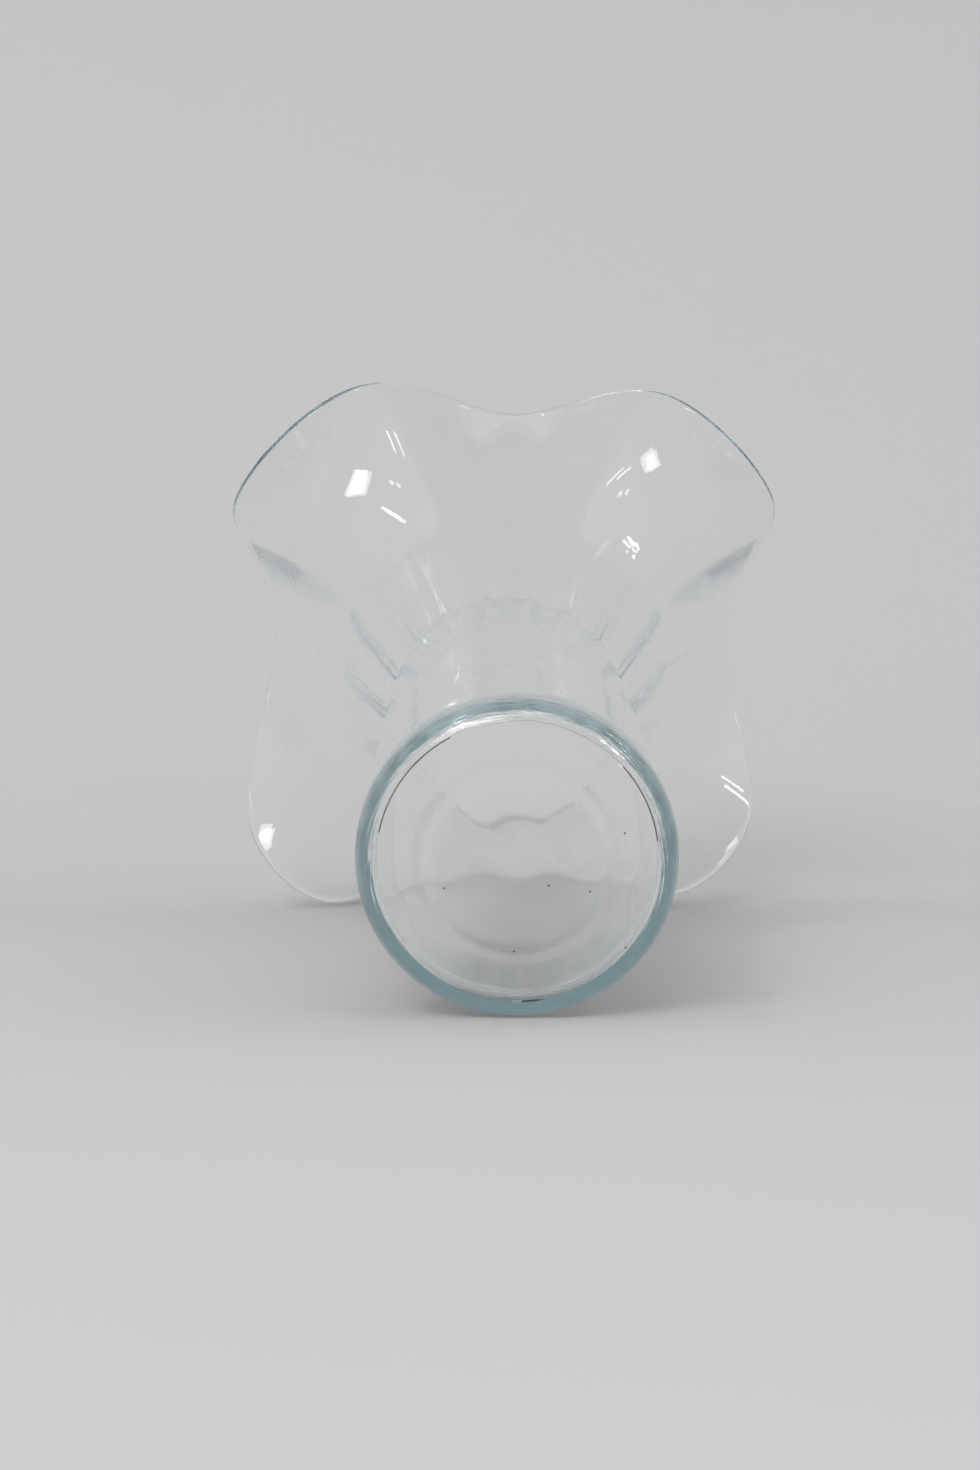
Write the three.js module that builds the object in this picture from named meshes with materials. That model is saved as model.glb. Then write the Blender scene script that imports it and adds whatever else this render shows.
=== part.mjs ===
// Clear glass tulip vase, standing on its foot, in millimetres with +Z up.
// The origin is the centre of the foot's underside. The four lobes of the rim lie on the diagonals,
// and the four pinches between them on the X and Y axes. The seams between the meshes are the lines
// where one stretch of the continuous glass wall hands over to the next, so they meet face to face.
import * as THREE from 'three';

// Foot: the closed end of the tube, with a rounded heel and a slightly hollow underside
const HEEL_RADIUS = 30;
const HEEL_ROUNDING = 3.9;
const HEEL_WIDEST_Z = 6;
const REST_RING_WIDTH = 3.7;
const KICK_HEIGHT = 0.8;
const FLOOR_Z = 4.2;
const FLOOR_DISH = 0.5;
const FLOOR_FILLET = 1;

// Body: a plain tube, tapering slightly up to the waist
const LOWER_WALL = 3.4;
const WAIST_Z = 156;
const WAIST_RADIUS = 27.3;
const WAIST_WALL = 3;

// Fluted cup: concave panels pressed into the outside of the flare, from the waist up to round tops
const FLUTES = 16;
const FLUTE_DEPTH = 0.6;
const FLUTE_RUN_IN = 6;
const FLUTE_END_FRACTION = 0.5;
const CUP_END_FRACTION = 0.55;

// Ruffled skirt: the hot mouth opened wide, then pinched in at four places
const LOBES = 4;
const LOBE_RADIUS = 82;
const LOBE_RISE = 64;
const PINCH_RADIUS = 61;
const PINCH_RISE = 126;
const PINCH_SHARPNESS = 1.6;
const WAIST_TILT = THREE.MathUtils.degToRad(80);
const LOBE_END_TILT = THREE.MathUtils.degToRad(-25);
const PINCH_END_TILT = THREE.MathUtils.degToRad(50);
const WAIST_REACH = 90;
const RIM_REACH = 90;

// Lip: the rim, melted round
const RIM_WALL = 2.4;
const LIP_START_FRACTION = 0.965;

// Fineness of the facets
const STEPS_ROUND = 96;
const CUP_STEPS = 8;
const SKIRT_STEPS = 8;
const RUN_IN_STEPS = 2;
const KICK_STEPS = 2;
const HEEL_STEPS = 7;
const FLOOR_STEPS = 4;
const FILLET_STEPS = 4;
const LIP_STEPS = 4;

const { lerp, smoothstep } = THREE.MathUtils;

// How far out an azimuth is between the pinch (-1) and the middle of a lobe (1)
function ruffle(angle) {
  const towardsPinch = (1 + Math.cos(LOBES * angle)) / 2;
  return 1 - 2 * Math.pow(towardsPinch, PINCH_SHARPNESS);
}

// Outer radius of the tapered tube below the waist
function tubeRadius(z) {
  return lerp(HEEL_RADIUS, WAIST_RADIUS, (z - HEEL_WIDEST_Z) / (WAIST_Z - HEEL_WIDEST_Z));
}

// Thickness of the wall of the tube, thinning towards the waist
function tubeWall(z) {
  return lerp(LOWER_WALL, WAIST_WALL, (z - HEEL_WIDEST_Z) / (WAIST_Z - HEEL_WIDEST_Z));
}

// Depth of the panel at an azimuth, where fullDepth is the depth in the middle of the panel
function fluteCut(angle, fullDepth) {
  const halfPanel = Math.PI / FLUTES;
  const fromMiddle = THREE.MathUtils.euclideanModulo(angle + halfPanel, 2 * halfPanel) - halfPanel;
  const across = fromMiddle / halfPanel;
  return Math.max(0, fullDepth - FLUTE_DEPTH * across * across);
}

function tubeFluteDepth(z) {
  return FLUTE_DEPTH * smoothstep(z, WAIST_Z - FLUTE_RUN_IN, WAIST_Z);
}

function flareFluteDepth(t) {
  return t < FLUTE_END_FRACTION ? FLUTE_DEPTH * Math.sqrt(1 - (t / FLUTE_END_FRACTION) ** 2) : 0;
}

// Outer face of the flare at an azimuth, as radius and height, with t from 0 at the waist to 1 at the rim
function flareCurve(angle, t) {
  const outward = (1 + ruffle(angle)) / 2;
  const tilt = lerp(PINCH_END_TILT, LOBE_END_TILT, outward);
  const start = new THREE.Vector2(WAIST_RADIUS, WAIST_Z);
  const rimRadius = lerp(PINCH_RADIUS, LOBE_RADIUS, outward);
  const end = new THREE.Vector2(rimRadius, WAIST_Z + lerp(PINCH_RISE, LOBE_RISE, outward));
  const leave = new THREE.Vector2(Math.cos(WAIST_TILT), Math.sin(WAIST_TILT)).multiplyScalar(WAIST_REACH);
  const arrive = new THREE.Vector2(Math.cos(tilt), Math.sin(tilt)).multiplyScalar(RIM_REACH);
  const s = 1 - t;
  return new THREE.Vector2()
    .addScaledVector(start, s * s * (1 + 2 * t))
    .addScaledVector(leave, s * s * t)
    .addScaledVector(end, t * t * (3 - 2 * t))
    .addScaledVector(arrive, -t * t * s);
}

// Outward direction square to the flare's outer face
function flareNormal(angle, t) {
  const nudge = 0.001;
  const along = flareCurve(angle, t + nudge).sub(flareCurve(angle, t - nudge)).normalize();
  return new THREE.Vector2(along.y, -along.x);
}

function flareWall(t) {
  return lerp(WAIST_WALL, RIM_WALL, t);
}

// A point in the wall of the flare, with depth from 0 on the outer face to 1 on the inner face
function flarePoint(angle, t, depth) {
  if (t === 0) {
    return tubePoint(angle, WAIST_Z, depth);
  }
  const normal = flareNormal(angle, t);
  const skin = flareCurve(angle, t).addScaledVector(normal, -fluteCut(angle, flareFluteDepth(t)));
  const inside = flareCurve(angle, t).addScaledVector(normal, -flareWall(t));
  return skin.lerp(inside, depth);
}

// A point in the wall of the tube, where the panels run in just under the waist
function tubePoint(angle, z, depth) {
  const skin = tubeRadius(z) - fluteCut(angle, tubeFluteDepth(z));
  return new THREE.Vector2(lerp(skin, tubeRadius(z) - tubeWall(z), depth), z);
}

function steps(count, make) {
  return Array.from({ length: count + 1 }, (unused, i) => make(i / count));
}

function apart(positions, a, b) {
  const from = new THREE.Vector3().fromArray(positions, 3 * a);
  return from.distanceTo(new THREE.Vector3().fromArray(positions, 3 * b));
}

// Closed ring of wall: sectionAt(angle) gives the same number of outline points at every azimuth.
// Each four-cornered facet is split along its shorter diagonal, so two meshes split a shared seam alike.
function ringGeometry(sectionAt) {
  const positions = [];
  const triangles = [];
  let perSection = 0;
  for (let i = 0; i < STEPS_ROUND; i += 1) {
    const angle = (2 * Math.PI * i) / STEPS_ROUND;
    const section = sectionAt(angle);
    perSection = section.length;
    for (const point of section) {
      positions.push(point.x * Math.cos(angle), point.x * Math.sin(angle), point.y);
    }
  }
  for (let i = 0; i < STEPS_ROUND; i += 1) {
    const next = (i + 1) % STEPS_ROUND;
    for (let j = 0; j < perSection; j += 1) {
      const up = (j + 1) % perSection;
      const a = i * perSection + j;
      const b = next * perSection + j;
      const c = next * perSection + up;
      const d = i * perSection + up;
      if (apart(positions, a, c) < apart(positions, b, d)) {
        triangles.push(a, b, c, a, c, d);
      } else {
        triangles.push(a, b, d, b, c, d);
      }
    }
  }
  return finish(positions, triangles);
}

// Solid of revolution whose profile starts and ends on the axis
function discGeometry(profile) {
  const positions = [0, 0, profile[0].y];
  const triangles = [];
  const rings = profile.slice(1, -1);
  for (const point of rings) {
    for (let i = 0; i < STEPS_ROUND; i += 1) {
      const angle = (2 * Math.PI * i) / STEPS_ROUND;
      positions.push(point.x * Math.cos(angle), point.x * Math.sin(angle), point.y);
    }
  }
  positions.push(0, 0, profile[profile.length - 1].y);
  const top = positions.length / 3 - 1;
  const at = (ring, i) => 1 + ring * STEPS_ROUND + (i % STEPS_ROUND);
  for (let i = 0; i < STEPS_ROUND; i += 1) {
    triangles.push(0, at(0, i + 1), at(0, i));
    for (let ring = 0; ring + 1 < rings.length; ring += 1) {
      triangles.push(at(ring, i), at(ring, i + 1), at(ring + 1, i + 1));
      triangles.push(at(ring, i), at(ring + 1, i + 1), at(ring + 1, i));
    }
    triangles.push(top, at(rings.length - 1, i), at(rings.length - 1, i + 1));
  }
  return finish(positions, triangles);
}

function finish(positions, triangles) {
  const geometry = new THREE.BufferGeometry();
  geometry.setAttribute('position', new THREE.Float32BufferAttribute(positions, 3));
  geometry.setIndex(triangles);
  geometry.computeVertexNormals();
  return geometry;
}

// Glass of one stretch. Thick glass shows more of its grey-green tint than thin glass does.
function glass(color, opacity) {
  return new THREE.MeshStandardMaterial({ color, roughness: 0.04, metalness: 0, transparent: true, opacity });
}

function foot() {
  const restRingRadius = HEEL_RADIUS - HEEL_ROUNDING;
  const recessRadius = restRingRadius - REST_RING_WIDTH;
  const insideRadius = HEEL_RADIUS - LOWER_WALL;
  const floorRadius = insideRadius - FLOOR_FILLET;
  const kick = steps(KICK_STEPS, (t) => new THREE.Vector2(recessRadius * t, KICK_HEIGHT * (1 - t * t)));
  const heel = steps(HEEL_STEPS, (t) => {
    const turn = (t * Math.PI) / 2;
    const radius = restRingRadius + HEEL_ROUNDING * Math.sin(turn);
    return new THREE.Vector2(radius, HEEL_WIDEST_Z * (1 - Math.cos(turn)));
  });
  const wallTop = new THREE.Vector2(insideRadius, HEEL_WIDEST_Z);
  const fillet = steps(FILLET_STEPS, (t) => {
    const turn = (t * Math.PI) / 2;
    const radius = floorRadius + FLOOR_FILLET * Math.cos(turn);
    return new THREE.Vector2(radius, FLOOR_Z + FLOOR_FILLET * (1 - Math.sin(turn)));
  });
  const floor = steps(FLOOR_STEPS, (t) => {
    const drop = FLOOR_DISH * (1 - (1 - t) ** 2);
    return new THREE.Vector2(floorRadius * (1 - t), FLOOR_Z - drop);
  });
  return discGeometry([...kick, ...heel, wallTop, ...fillet, ...floor.slice(1)]);
}

// The tube above the heel. The panels run in over its last stretch.
function body() {
  const outerBottom = tubePoint(0, HEEL_WIDEST_Z, 0);
  const innerBottom = tubePoint(0, HEEL_WIDEST_Z, 1);
  return ringGeometry((angle) => {
    const runIn = steps(RUN_IN_STEPS, (t) => tubePoint(angle, WAIST_Z - FLUTE_RUN_IN * (1 - t), 0));
    return [outerBottom, ...runIn, tubePoint(angle, WAIST_Z, 1), innerBottom];
  });
}

// A stretch of the flare's wall between two places along it
function flareStretch(from, to, count) {
  return ringGeometry((angle) => {
    const outside = steps(count, (t) => flarePoint(angle, lerp(from, to, t), 0));
    const inside = steps(count, (t) => flarePoint(angle, lerp(to, from, t), 1));
    return [...outside, ...inside];
  });
}

function lip() {
  return ringGeometry((angle) => {
    const normal = flareNormal(angle, 1);
    const along = new THREE.Vector2(-normal.y, normal.x);
    const middle = flarePoint(angle, 1, 0.5);
    const radius = RIM_WALL / 2;
    const bead = steps(LIP_STEPS, (t) => {
      const turn = t * Math.PI;
      return middle
        .clone()
        .addScaledVector(normal, radius * Math.cos(turn))
        .addScaledVector(along, radius * Math.sin(turn));
    });
    return [flarePoint(angle, LIP_START_FRACTION, 0), ...bead, flarePoint(angle, LIP_START_FRACTION, 1)];
  });
}

const group = new THREE.Group();

function add(name, geometry, material) {
  const mesh = new THREE.Mesh(geometry, material);
  mesh.name = name;
  group.add(mesh);
}

add('foot', foot(), glass(0x9fb6b0, 0.55));
add('body', body(), glass(0xdfe6e3, 0.3));
add('fluted_cup', flareStretch(0, CUP_END_FRACTION, CUP_STEPS), glass(0xdde3df, 0.32));
add('ruffled_skirt', flareStretch(CUP_END_FRACTION, LIP_START_FRACTION, SKIRT_STEPS), glass(0xe4e8e6, 0.25));
add('lip', lip(), glass(0xc9d3cf, 0.4));

export default group;
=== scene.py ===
import functools
import math

import bmesh
import bpy
from mathutils import Matrix, Vector


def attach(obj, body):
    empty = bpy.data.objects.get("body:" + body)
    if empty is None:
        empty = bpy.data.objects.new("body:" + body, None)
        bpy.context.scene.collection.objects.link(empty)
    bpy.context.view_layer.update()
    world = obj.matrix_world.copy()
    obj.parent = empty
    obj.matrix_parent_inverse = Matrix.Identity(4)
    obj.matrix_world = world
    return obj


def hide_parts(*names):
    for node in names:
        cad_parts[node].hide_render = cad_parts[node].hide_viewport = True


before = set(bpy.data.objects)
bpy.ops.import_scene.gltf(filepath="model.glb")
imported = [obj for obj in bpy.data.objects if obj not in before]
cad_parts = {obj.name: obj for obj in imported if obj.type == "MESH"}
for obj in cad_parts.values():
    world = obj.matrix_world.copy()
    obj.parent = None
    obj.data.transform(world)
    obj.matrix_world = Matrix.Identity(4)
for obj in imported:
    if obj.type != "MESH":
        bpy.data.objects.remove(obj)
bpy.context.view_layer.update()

# Sizes of the glass in metres: foot and tube
HEEL_RADIUS = 0.030
HEEL_ROUNDING = 0.0039
HEEL_WIDEST_Z = 0.006
REST_RING_WIDTH = 0.0037
KICK_HEIGHT = 0.0008
FLOOR_Z = 0.0042
FLOOR_DISH = 0.0005
FLOOR_FILLET = 0.001
FLOOR_RING_RADIUS = 0.0178
FLOOR_RING_HEIGHT = 0.00025
FLOOR_RING_WIDTH = 0.001
LOWER_WALL = 0.0034
WAIST_Z = 0.156
WAIST_RADIUS = 0.0273
WAIST_WALL = 0.003

# Waves of the floor: their height, and the length, direction and start of each
FLOOR_WAVE = 0.00006
FLOOR_WAVES = ((0.018, 0.3, 1.6), (0.015, 1.5, 3.4), (0.011, 2.6, 2.2))

# Pressed panels, which end at a share of the way up the flare
FLUTES = 16
FLUTE_DEPTH = 0.0007
FLUTE_RUN_IN = 0.006
FLUTE_END = 0.52

# Opened flare: the tilts that its wall has at the waist and at a pinch, and how far up they reach
WAIST_TILT = math.radians(79)
PINCH_END_TILT = math.radians(50)
REACH = 0.090
RIM_WALL = 0.0024

# Lobes as radius, height and the tilt that their wall ends with. Upper is towards -Y, and left
# towards -X, as the camera sees them. They differ a little, as they are made by hand.
UPPER_LEFT_LOBE = (0.0792, 0.222, math.radians(-22))
UPPER_RIGHT_LOBE = (0.0792, 0.222, math.radians(-15))
LOWER_LEFT_LOBE = (0.0811, 0.234, math.radians(-15))
LOWER_RIGHT_LOBE = (0.0784, 0.234, math.radians(-15))

# Pinches as radius and height: the two on the X axis and the two on the Y axis
SIDE_PINCH = (0.0617, 0.275)
END_PINCH = (0.0594, 0.275)

# Half the width of a pinch in degrees: the top one, the side ones upwards, and elsewhere. The top
# one also sits a little to one side.
HALF_PINCH_TOP = 27.5
HALF_PINCH_SIDE = 28
HALF_PINCH_LOW = 32.5
TOP_PINCH_SHIFT = 2.5

# Powers with which the rim leaves a pinch, in radius and in height, and of its corner at a lobe
RADIUS_CURVE = 1.9
HEIGHT_CURVE = 4
CORNER = 10

# The waist is still round: everywhere this far from a pinch to a lobe
MEAN_OUTWARD = 0.65

# The flare is drawn as a straight tube of this length before it is opened
BLANK_LENGTH = 0.100

# Fineness of the mesh
STEPS_ROUND = 384
RECESS_STEPS = 8
REST_RING_STEPS = 3
HEEL_STEPS = 16
TUBE_STEPS = 15
RUN_IN_STEPS = 6
FLARE_STEPS = 60
RIM_STEPS = 10
INSIDE_STEPS = 17
FILLET_STEPS = 8
FLOOR_STEPS = 32

# Step along the flare that gives its slope, digits kept so that the caches meet the same angle
# again, and places this close are one
NUDGE = 0.001
KEPT_DIGITS = 5
SAME_PLACE = 1e-6

# Glass
GLASS_IOR = 1.5
GLASS_TINT = (0.50, 0.70, 0.73, 1)
GLASS_DENSITY = 6

# Faint waves, and streaks on the heel by how fine they are round, out and up. The heel is low
# and outside the edge of the floor.
WAVE_SCALE = 45
WAVE_STRENGTH = 0.25
WAVE_HEIGHT = 0.0003
STREAK_FINENESS = (2.5, 1800, 900)
STREAK_SHARE = 2.5
HEEL_TOP = 0.012
FLOOR_EDGE = 0.0262

# Haze on the floor of the tube, from its lowest to its highest place
HAZE = 0.07
HAZE_LEVELS = (0.003, 0.0062)

# Painted reflections and dust on the underside: a line between two radii, a little off centre, in
# arcs that start at screen right, painted as the reflection of dark surroundings with a fainter one
# at the top, and dust specks in some of the cells of a pattern
PAINTED_REFLECTION_AND_DUST_COLOUR = (0.02, 0.015, 0.01, 1)
UNDERSIDE_TOP = 0.0012
PAINTED_REFLECTION_SHIFT = 0.0009
PAINTED_REFLECTION_RADII = (0.0257, 0.02592)
FAINT_REFLECTION_RADII = (0.0258, 0.02592)
LEFT_ARC = (2.05, 2.91)
RIGHT_ARC = (0.17, 0.76)
TOP_ARC = (0.76, 1.6)
TOP_ARC_SHARE = 0.5
SPECK_SCALE = 150
SPECK_SIZE = 0.028
SPECK_RARITY = 0.82

# Camera, below the foot and a little towards -Y, looking up along the vase
CAMERA_PLACE = (-0.0085, -0.12723, -0.54556)
CAMERA_FORWARD = (0.0062, 0.18579, 0.98257)
CAMERA_UP = (0, -0.98259, 0.1858)
CAMERA_LENS = 75
CAMERA_NEAR = 0.01

# Pale sheet: it touches the heel and the two lower lobes, and bends up behind the rim
SHEET_SLOPE = math.radians(8.95)
SHEET_GAP = 0.0003
SHEET_WIDTH = 2.6
SHEET_FROM = -1.1
SHEET_BENDS_AT = 0.30
BEND_RADIUS = 0.7
BEND = math.radians(75)
BEND_STEPS = 24
SHEET_RISE = 1.6

# Panels of light, seen from the middle of the vase: how far round and up each stands from behind
# the camera, and how wide and high it looks, all in degrees, then its glow and colour
VASE_MIDDLE = Vector((0, 0, 0.15))
LIGHT_DISTANCE = 2.2
LIGHTS = {
    "window_main": (-22, 41, 28, 18, 11, (1, 0.99, 0.97)),
    "window_left": (-104, 63, 20, 3, 12, (1, 1, 1)),
    "window_right": (113, 38, 3, 14, 12, (1, 1, 1)),
    "ceiling_lamp": (30, 82, 6, 6, 10, (1, 1, 1)),
}
# Watts that a square metre of panel needs for a glow of 1
POWER_PER_GLOW = 2

# Even pale room, a little lighter overhead, which is -Y here
ROOM_COLOUR = (0.98, 0.99, 1, 1)
OVERHEAD_GLOW = 0.78
UNDERFOOT_GLOW = 0.3

# Light that enters thick glass turns round in its wall many times before it leaves
BOUNCES = 64


def mix(a, b, t):
    return a + (b - a) * t


def tube_radius(z):
    """Outside of the tapered tube."""
    return mix(HEEL_RADIUS, WAIST_RADIUS, (z - HEEL_WIDEST_Z) / (WAIST_Z - HEEL_WIDEST_Z))


def tube_wall(z):
    """Thickness of the tube's wall, which thins towards the waist."""
    return mix(LOWER_WALL, WAIST_WALL, (z - HEEL_WIDEST_Z) / (WAIST_Z - HEEL_WIDEST_Z))


def draw_on(bm, tip, radius, z, steps=1):
    """Draws the outline on in a straight line and gives its new tip."""
    start = tip.co.copy()
    for i in range(steps):
        tip = bmesh.ops.extrude_vert_indiv(bm, verts=[tip])["verts"][0]
        tip.co = start.lerp(Vector((radius, 0, z)), (i + 1) / steps)
    return tip


def draw_round(bm, tip, centre, angle, steps, width=1):
    """Draws the outline on round part of a circle, or of an oval if width isn't 1."""
    before = set(bm.verts)
    made = bmesh.ops.spin(bm, geom=[tip], cent=centre, axis=(0, 1, 0), angle=angle, steps=steps)
    arc = [v for v in bm.verts if v not in before]
    at_centre = Matrix.Translation(-Vector(centre))
    bmesh.ops.scale(bm, vec=(width, 1, 1), space=at_centre, verts=arc)
    return made["geom_last"][0]


def draw_foot(bm):
    """Outline of the underside and the heel."""
    rest_ring = HEEL_RADIUS - HEEL_ROUNDING
    recess = rest_ring - REST_RING_WIDTH
    tip = bm.verts.new((0, 0, KICK_HEIGHT))
    tip = draw_on(bm, tip, recess, 0, RECESS_STEPS)
    for v in bm.verts:
        v.co.z = KICK_HEIGHT * (1 - (v.co.x / recess) ** 2)
    tip = draw_on(bm, tip, rest_ring, 0, REST_RING_STEPS)
    oval = HEEL_ROUNDING / HEEL_WIDEST_Z
    return draw_round(bm, tip, (rest_ring, 0, HEEL_WIDEST_Z), -math.pi / 2, HEEL_STEPS, oval)


def draw_wall(bm, tip):
    """Outline of the tube with the flare still straight, up the outside and down the inside."""
    run_in_z = WAIST_Z - FLUTE_RUN_IN
    rim_z = WAIST_Z + BLANK_LENGTH
    tip = draw_on(bm, tip, tube_radius(run_in_z), run_in_z, TUBE_STEPS)
    tip = draw_on(bm, tip, WAIST_RADIUS, WAIST_Z, RUN_IN_STEPS)
    tip = draw_on(bm, tip, WAIST_RADIUS, rim_z, FLARE_STEPS)
    mid_rim = (WAIST_RADIUS - WAIST_WALL / 2, 0, rim_z)
    tip = draw_round(bm, tip, mid_rim, -math.pi, RIM_STEPS)
    tip = draw_on(bm, tip, WAIST_RADIUS - WAIST_WALL, WAIST_Z, FLARE_STEPS)
    return draw_on(bm, tip, HEEL_RADIUS - LOWER_WALL, HEEL_WIDEST_Z, INSIDE_STEPS)


def draw_floor(bm, tip):
    """Outline of the inside's foot: a fillet and a slightly dished floor."""
    inner = HEEL_RADIUS - LOWER_WALL - FLOOR_FILLET
    fillet_z = FLOOR_Z + FLOOR_FILLET
    tip = draw_on(bm, tip, HEEL_RADIUS - LOWER_WALL, fillet_z)
    tip = draw_round(bm, tip, (inner, 0, fillet_z), math.pi / 2, FILLET_STEPS)
    tip.co = (inner, 0, FLOOR_Z)
    before = set(bm.verts)
    draw_on(bm, tip, 0, FLOOR_Z - FLOOR_DISH, FLOOR_STEPS)
    for v in bm.verts:
        if v not in before:
            v.co.z = FLOOR_Z - FLOOR_DISH * (1 - (v.co.x / inner) ** 2)


@functools.cache
def rim_place(angle):
    """Lobe and pinch next to an azimuth, and how far the rim is there from the pinch to the lobe:
    in a smooth ruffle, and as it is at the rim in radius and in height."""
    towards = math.degrees(math.atan2(-math.sin(angle), math.cos(angle)))
    middle = round(towards / 90) * 90
    left, upper = abs(towards) > 90, towards > 0
    if upper:
        lobe = UPPER_LEFT_LOBE if left else UPPER_RIGHT_LOBE
    else:
        lobe = LOWER_LEFT_LOBE if left else LOWER_RIGHT_LOBE
    pinch = END_PINCH if abs(middle) == 90 else SIDE_PINCH
    half_pinch = HALF_PINCH_LOW
    if middle == 90:
        half_pinch = HALF_PINCH_TOP
        towards += TOP_PINCH_SHIFT * math.cos(math.radians(2 * (towards - 90)))
    elif upper:
        half_pinch = HALF_PINCH_SIDE
    off = abs((towards + 45) % 90 - 45)
    across = off / half_pinch
    level = 1 + across ** CORNER
    smooth = (1 - math.cos(math.radians(4 * off))) / 2
    by_radius = across ** RADIUS_CURVE / level ** (RADIUS_CURVE / CORNER)
    by_height = across ** HEIGHT_CURVE / level ** (HEIGHT_CURVE / CORNER)
    return lobe, pinch, smooth, by_radius, by_height


def ends_at(place, t):
    """Radius, height and tilt with which the flare's wall would end for the shape it has at t."""
    lobe, pinch, smooth, by_radius, by_height = place
    outward = mix(MEAN_OUTWARD, mix(smooth, by_radius, t), t)
    upward = mix(MEAN_OUTWARD, mix(smooth, by_height, t), t)
    return (mix(pinch[0], lobe[0], outward),
            mix(pinch[1], lobe[1], upward),
            mix(PINCH_END_TILT, lobe[2], outward))


def panel_cut(angle, full_depth):
    """How deep the outside is pressed in at an azimuth, for the depth that a panel's middle has."""
    half = math.pi / FLUTES
    across = ((angle + half) % (2 * half) - half) / half
    return max(0, full_depth - FLUTE_DEPTH * across * across)


def flare_wall(place, t):
    """Outside of the flare as radius and height, from t 0 at the waist to 1 at the rim."""
    radius, height, tilt = ends_at(place, t)
    s = 1 - t
    start, leave = s * s * (1 + 2 * t), REACH * s * s * t
    end, arrive = t * t * (3 - 2 * t), REACH * t * t * s
    return (WAIST_RADIUS * start + math.cos(WAIST_TILT) * leave
            + radius * end - math.cos(tilt) * arrive,
            WAIST_Z * start + math.sin(WAIST_TILT) * leave
            + height * end - math.sin(tilt) * arrive)


@functools.cache
def flare_frame(angle, t):
    """Outside of the flare and its outward direction, each as radius and height."""
    place = rim_place(angle)
    radius, height = flare_wall(place, t)
    before, after = flare_wall(place, t - NUDGE), flare_wall(place, t + NUDGE)
    length = math.hypot(after[0] - before[0], after[1] - before[1])
    return radius, height, (after[1] - before[1]) / length, (before[0] - after[0]) / length


def open_flare(angle, t, depth, beyond):
    """Radius and height in the opened flare of a place in the blank, where depth goes from 0
    outside to 1 inside, and beyond is how far past the rim's start it is."""
    radius, height, out_radius, out_height = flare_frame(angle, t)
    pressed = FLUTE_DEPTH * math.sqrt(max(0, 1 - (t / FLUTE_END) ** 2))
    inset = mix(panel_cut(angle, pressed), mix(WAIST_WALL, RIM_WALL, t), depth)
    past = beyond * RIM_WALL / WAIST_WALL
    return (radius - out_radius * inset - out_height * past,
            height - out_height * inset + out_radius * past)


def shape_glass(bm):
    """Presses the panels and opens and pinches the mouth of the straight blank."""
    run_in_z = WAIST_Z - FLUTE_RUN_IN
    for v in bm.verts:
        x, y, z = v.co
        if z < run_in_z:
            continue
        radius = math.hypot(x, y)
        angle = round(math.atan2(y, x), KEPT_DIGITS)
        if z <= WAIST_Z + SAME_PLACE / 10:
            s = (z - run_in_z) / FLUTE_RUN_IN
            pressed = FLUTE_DEPTH * s * s * (3 - 2 * s)
            depth = (tube_radius(z) - radius) / tube_wall(z)
            radius -= panel_cut(angle, pressed) * (1 - depth)
        else:
            t = min(round((z - WAIST_Z) / BLANK_LENGTH, KEPT_DIGITS), 1)
            depth = (WAIST_RADIUS - radius) / WAIST_WALL
            beyond = max(0, z - WAIST_Z - BLANK_LENGTH)
            radius, z = open_flare(angle, t, depth, beyond)
        v.co = (radius * math.cos(angle), radius * math.sin(angle), z)


def uneven_floor(bm):
    """Waves and a faint ring on the floor of the tube, as hand-worked glass has."""
    inner = HEEL_RADIUS - LOWER_WALL - FLOOR_FILLET
    lowest, highest = FLOOR_Z - FLOOR_DISH - SAME_PLACE, FLOOR_Z + SAME_PLACE
    for v in bm.verts:
        x, y, z = v.co
        radius = math.hypot(x, y)
        if radius > inner + SAME_PLACE or not lowest < z < highest:
            continue
        waves = 0
        for length, turn, start in FLOOR_WAVES:
            along = x * math.cos(turn) + y * math.sin(turn)
            waves += math.sin(math.tau * along / length + start)
        fade = 1 - (radius / inner) ** 4
        off_ring = (radius - FLOOR_RING_RADIUS) / FLOOR_RING_WIDTH
        v.co.z += FLOOR_WAVE * waves * fade + FLOOR_RING_HEIGHT * math.exp(-off_ring ** 2)


def add_object(name, bm):
    """A new smooth object from a bmesh, which it frees."""
    for face in bm.faces:
        face.smooth = True
    mesh = bpy.data.meshes.new(name)
    bm.to_mesh(mesh)
    bm.free()
    made = bpy.data.objects.new(name, mesh)
    bpy.context.scene.collection.objects.link(made)
    return made


def make_vase():
    bm = bmesh.new()
    draw_floor(bm, draw_wall(bm, draw_foot(bm)))
    bmesh.ops.spin(bm, geom=bm.verts[:] + bm.edges[:], cent=(0, 0, 0), axis=(0, 0, 1),
                   angle=math.tau, steps=STEPS_ROUND, use_merge=True)
    bmesh.ops.remove_doubles(bm, verts=bm.verts, dist=SAME_PLACE)
    shape_glass(bm)
    uneven_floor(bm)
    bmesh.ops.recalc_face_normals(bm, faces=bm.faces)
    return add_object("vase_glass", bm)


def add_node(material, kind, **values):
    """A new node with its settings made and its inputs given by name."""
    node = material.node_tree.nodes.new("ShaderNode" + kind)
    for name, value in values.items():
        if hasattr(node, name):
            setattr(node, name, value)
        else:
            node.inputs[name].default_value = value
    return node


def add_math(material, operation, *inputs):
    """Output of a new math node, whose inputs are numbers or outputs of other nodes."""
    node = add_node(material, "Math", operation=operation)
    for socket, value in zip(node.inputs, inputs):
        if isinstance(value, (int, float)):
            socket.default_value = value
        else:
            material.node_tree.links.new(value, socket)
    return node.outputs[0]


def add_between(material, value, low, high):
    above = add_math(material, "GREATER_THAN", value, low)
    below = add_math(material, "LESS_THAN", value, high)
    return add_math(material, "MULTIPLY", above, below)


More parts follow.
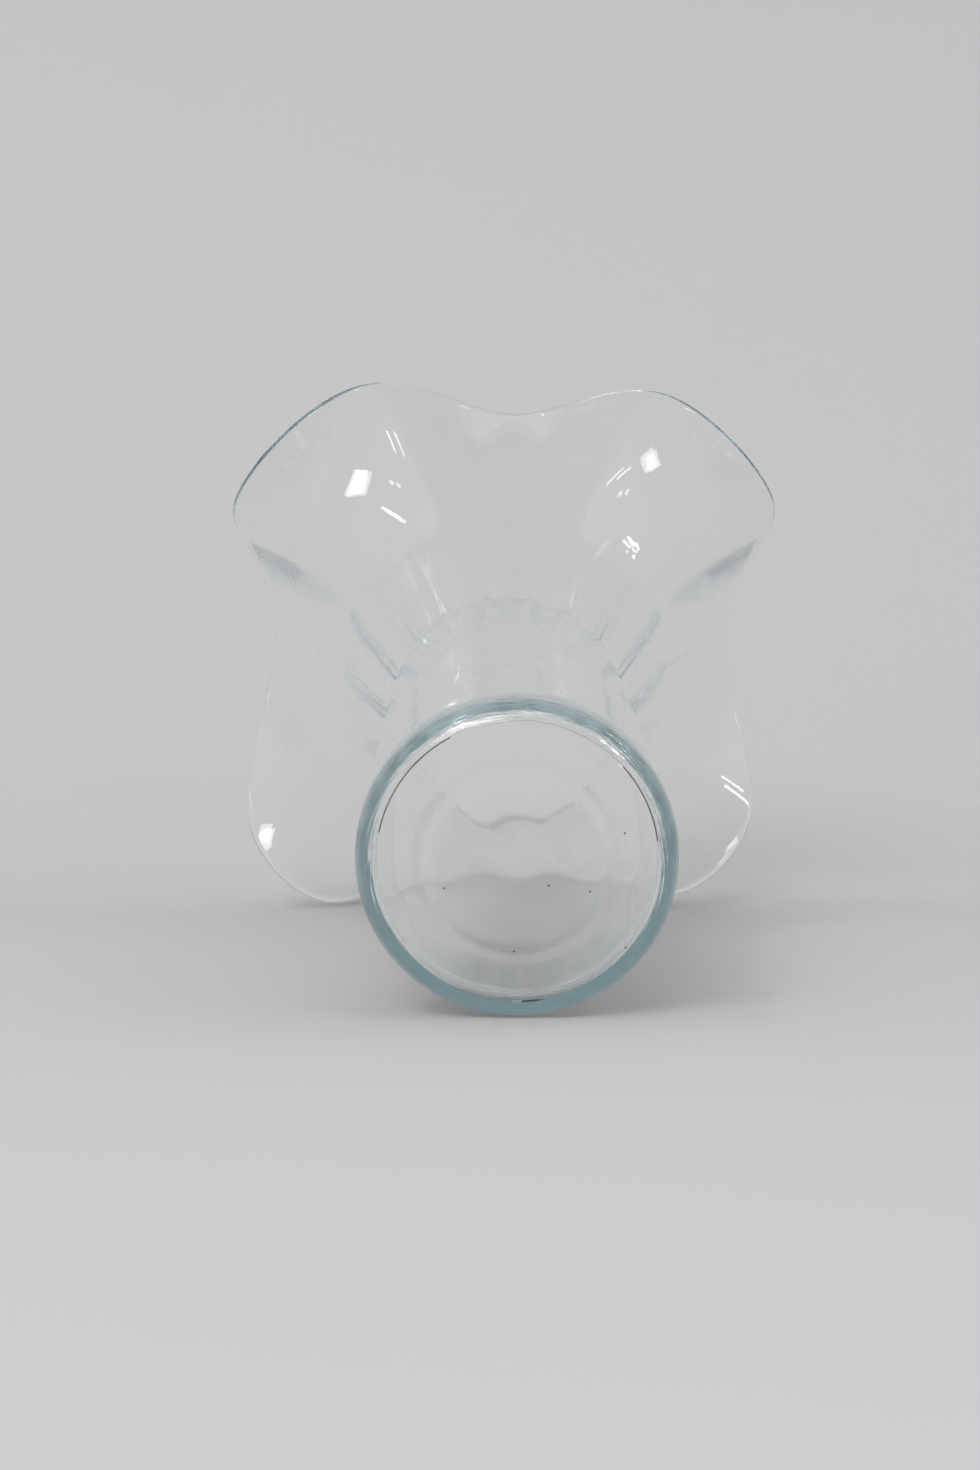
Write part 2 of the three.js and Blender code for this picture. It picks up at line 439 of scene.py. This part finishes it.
def add_radius(material, x, y):
    squares = [add_math(material, "MULTIPLY", side, side) for side in (x, y)]
    return add_math(material, "SQRT", add_math(material, "ADD", *squares))


def glass_material():
    """Clear soda glass with a grey-green tint that shows where it is thick."""
    material = bpy.data.materials.new("clear_soda_glass")
    material.use_nodes = True
    nodes, links = material.node_tree.nodes, material.node_tree.links
    shader = nodes["Principled BSDF"]
    shader.inputs["Transmission Weight"].default_value = 1
    shader.inputs["IOR"].default_value = GLASS_IOR

    place = nodes.new("ShaderNodeTexCoord").outputs["Object"]
    parts = nodes.new("ShaderNodeSeparateXYZ")
    links.new(place, parts.inputs[0])
    x, y, z = parts.outputs
    radius = add_radius(material, x, y)
    # From screen right, up being towards -Y
    angle = add_math(material, "ARCTAN2", add_math(material, "MULTIPLY", y, -1), x)

    # Long streaks that run round the heel, and faint waves
    round_place = nodes.new("ShaderNodeCombineXYZ")
    for source, fineness, socket in zip((angle, radius, z), STREAK_FINENESS, round_place.inputs):
        links.new(add_math(material, "MULTIPLY", source, fineness), socket)
    streaks = add_node(material, "TexNoise", Scale=1, Detail=2)
    links.new(round_place.outputs[0], streaks.inputs["Vector"])
    on_heel = add_math(material, "MULTIPLY", add_math(material, "LESS_THAN", z, HEEL_TOP),
                       add_math(material, "GREATER_THAN", radius, FLOOR_EDGE))
    streaks_there = add_math(material, "MULTIPLY", streaks.outputs["Fac"], on_heel)
    streak_height = add_math(material, "MULTIPLY", streaks_there, STREAK_SHARE)
    waves = add_node(material, "TexNoise", Scale=WAVE_SCALE, Detail=1)
    links.new(place, waves.inputs["Vector"])
    height = add_math(material, "ADD", waves.outputs["Fac"], streak_height)
    bump = add_node(material, "Bump", Strength=WAVE_STRENGTH, Distance=WAVE_HEIGHT)
    links.new(height, bump.inputs["Height"])
    links.new(bump.outputs["Normal"], shader.inputs["Normal"])

    # Slight haze on the floor of the tube
    on_floor = add_math(material, "MULTIPLY", add_between(material, z, *HAZE_LEVELS),
                        add_math(material, "LESS_THAN", radius, FLOOR_EDGE))
    links.new(add_math(material, "MULTIPLY", on_floor, HAZE), shader.inputs["Roughness"])

    # Painted reflection along the outer edge of the rest ring, a little off centre: dark arcs, and
    # a fainter one at the top
    line_radius = add_radius(material, x, add_math(material, "ADD", y, PAINTED_REFLECTION_SHIFT))
    arcs = add_math(material, "ADD", add_between(material, angle, *LEFT_ARC),
                    add_between(material, angle, *RIGHT_ARC))
    dark_reflection = add_math(material, "MULTIPLY", add_between(material, line_radius, *PAINTED_REFLECTION_RADII), arcs)
    top_arc = add_math(material, "MULTIPLY", add_between(material, angle, *TOP_ARC), TOP_ARC_SHARE)
    faint_reflection = add_math(material, "MULTIPLY", add_between(material, line_radius, *FAINT_REFLECTION_RADII),
                     top_arc)

    # Specks, from a few of the cells of a pattern
    specks = add_node(material, "TexVoronoi", voronoi_dimensions="2D", Scale=SPECK_SCALE)
    links.new(place, specks.inputs["Vector"])
    chance = nodes.new("ShaderNodeSeparateColor")
    links.new(specks.outputs["Color"], chance.inputs[0])
    small = add_math(material, "LESS_THAN", specks.outputs["Distance"], SPECK_SIZE)
    rare = add_math(material, "GREATER_THAN", chance.outputs[0], SPECK_RARITY)
    speck = add_math(material, "MULTIPLY", small, rare)

    # The painted reflection and the dust specks darken the base colour together
    reflection_and_specks = add_math(material, "MAXIMUM", add_math(material, "MAXIMUM", dark_reflection, faint_reflection), speck)
    underneath = add_math(material, "LESS_THAN", z, UNDERSIDE_TOP)
    # The colours of a mix node are its inputs 6 and 7, and their mix is its output 2
    tone = add_node(material, "Mix", data_type="RGBA")
    tone.inputs[6].default_value = (1, 1, 1, 1)
    tone.inputs[7].default_value = PAINTED_REFLECTION_AND_DUST_COLOUR
    links.new(add_math(material, "MULTIPLY", reflection_and_specks, underneath), tone.inputs[0])
    links.new(tone.outputs[2], shader.inputs["Base Color"])

    tint = nodes.new("ShaderNodeVolumeAbsorption")
    tint.inputs["Color"].default_value = GLASS_TINT
    tint.inputs["Density"].default_value = GLASS_DENSITY
    links.new(tint.outputs["Volume"], nodes["Material Output"].inputs["Volume"])
    return material


vase = make_vase()
vase.data.materials.append(glass_material())
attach(vase, "root")
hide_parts("foot", "body", "fluted_cup", "ruffled_skirt", "lip")


def placed(place, right, up, back):
    """Matrix that puts an object at a place and turns it to directions square to each other."""
    return Matrix.Translation(place) @ Matrix((right, up, back)).transposed().to_4x4()


def make_camera():
    data = bpy.data.cameras.new("camera")
    camera = bpy.data.objects.new("camera", data)
    bpy.context.scene.collection.objects.link(camera)
    data.lens = CAMERA_LENS
    data.clip_start = CAMERA_NEAR
    forward = Vector(CAMERA_FORWARD).normalized()
    right = forward.cross(Vector(CAMERA_UP)).normalized()
    camera.matrix_world = placed(CAMERA_PLACE, right, right.cross(forward), -forward)
    bpy.context.scene.camera = camera


make_camera()

sheet_along = Vector((0, math.sin(SHEET_SLOPE), math.cos(SHEET_SLOPE)))
sheet_up = Vector((0, -math.cos(SHEET_SLOPE), math.sin(SHEET_SLOPE)))
sheet_origin = Vector((-SHEET_WIDTH / 2, HEEL_RADIUS + SHEET_GAP, HEEL_WIDEST_Z))


def on_sheet(distance, height):
    """Place at the sheet's left edge."""
    return sheet_origin + sheet_along * distance + sheet_up * height


def make_sheet():
    """A flat stretch, a bend and a straight rise, drawn as a line and then made wide."""
    bm = bmesh.new()
    corner = bm.verts.new(on_sheet(SHEET_FROM, 0))
    flat_end = bmesh.ops.extrude_vert_indiv(bm, verts=[corner])["verts"]
    flat_end[0].co = on_sheet(SHEET_BENDS_AT, 0)
    bend_centre = on_sheet(SHEET_BENDS_AT, BEND_RADIUS)
    bend_end = bmesh.ops.spin(bm, geom=flat_end, cent=bend_centre, axis=(1, 0, 0),
                              angle=BEND, steps=BEND_STEPS)["geom_last"]
    top = bmesh.ops.extrude_vert_indiv(bm, verts=bend_end)["verts"][0]
    top.co = top.co + (sheet_along * math.cos(BEND) + sheet_up * math.sin(BEND)) * SHEET_RISE
    side = bmesh.ops.extrude_edge_only(bm, edges=bm.edges[:])
    wide = [g for g in side["geom"] if isinstance(g, bmesh.types.BMVert)]
    bmesh.ops.translate(bm, vec=(SHEET_WIDTH, 0, 0), verts=wide)
    return add_object("pale_sheet", bm)


def sheet_material():
    """Plain pale cotton with soft folds, which the camera looks through from behind."""
    material = bpy.data.materials.new("pale_cotton")
    material.use_nodes = True
    nodes, links = material.node_tree.nodes, material.node_tree.links
    shader = nodes["Principled BSDF"]
    shader.inputs["Base Color"].default_value = (0.6, 0.6, 0.605, 1)
    shader.inputs["Roughness"].default_value = 1
    shader.inputs["Specular IOR Level"].default_value = 0.1
    folds = add_node(material, "TexNoise", Scale=5, Detail=2)
    soft_folds = add_node(material, "Bump", Strength=0.3, Distance=0.012)
    links.new(nodes.new("ShaderNodeTexCoord").outputs["Object"], folds.inputs["Vector"])
    links.new(folds.outputs["Fac"], soft_folds.inputs["Height"])
    links.new(soft_folds.outputs["Normal"], shader.inputs["Normal"])
    from_behind = add_math(material, "MULTIPLY",
                           nodes.new("ShaderNodeNewGeometry").outputs["Backfacing"],
                           nodes.new("ShaderNodeLightPath").outputs["Is Camera Ray"])
    through = nodes.new("ShaderNodeMixShader")
    links.new(from_behind, through.inputs["Fac"])
    links.new(shader.outputs[0], through.inputs[1])
    links.new(nodes.new("ShaderNodeBsdfTransparent").outputs[0], through.inputs[2])
    links.new(through.outputs[0], nodes["Material Output"].inputs["Surface"])
    return material


sheet = make_sheet()
sheet.data.materials.append(sheet_material())


def add_light(name, turn, lift, wide, high, glow, colour):
    turn, lift = math.radians(turn), math.radians(lift)
    away = Vector((math.sin(turn) * math.cos(lift),
                   -math.sin(lift),
                   -math.cos(turn) * math.cos(lift)))
    side = Vector((0, -1, 0)).cross(away).normalized()
    width = 2 * LIGHT_DISTANCE * math.tan(math.radians(wide / 2))
    height = 2 * LIGHT_DISTANCE * math.tan(math.radians(high / 2))
    data = bpy.data.lights.new(name, "AREA")
    data.shape = "RECTANGLE"
    data.size, data.size_y = width, height
    data.energy = POWER_PER_GLOW * glow * width * height
    data.color = colour
    light = bpy.data.objects.new(name, data)
    stand = VASE_MIDDLE + away * LIGHT_DISTANCE
    light.matrix_world = placed(stand, side, away.cross(side), away)
    bpy.context.scene.collection.objects.link(light)


for light_name, values in LIGHTS.items():
    add_light(light_name, *values)


def make_room():
    world = bpy.data.worlds.new("room")
    bpy.context.scene.world = world
    world.use_nodes = True
    nodes, links = world.node_tree.nodes, world.node_tree.links
    background = nodes["Background"]
    background.inputs["Color"].default_value = ROOM_COLOUR
    direction = nodes.new("ShaderNodeSeparateXYZ")
    glow = nodes.new("ShaderNodeMapRange")
    glow.inputs["From Min"].default_value = -1
    glow.inputs["From Max"].default_value = 1
    glow.inputs["To Min"].default_value = OVERHEAD_GLOW
    glow.inputs["To Max"].default_value = UNDERFOOT_GLOW
    links.new(nodes.new("ShaderNodeTexCoord").outputs["Generated"], direction.inputs[0])
    links.new(direction.outputs["Y"], glow.inputs["Value"])
    links.new(glow.outputs["Result"], background.inputs["Strength"])


make_room()

cycles = bpy.context.scene.cycles
cycles.max_bounces = BOUNCES
cycles.transmission_bounces = BOUNCES
cycles.glossy_bounces = BOUNCES
bpy.context.scene.view_settings.view_transform = "Standard"
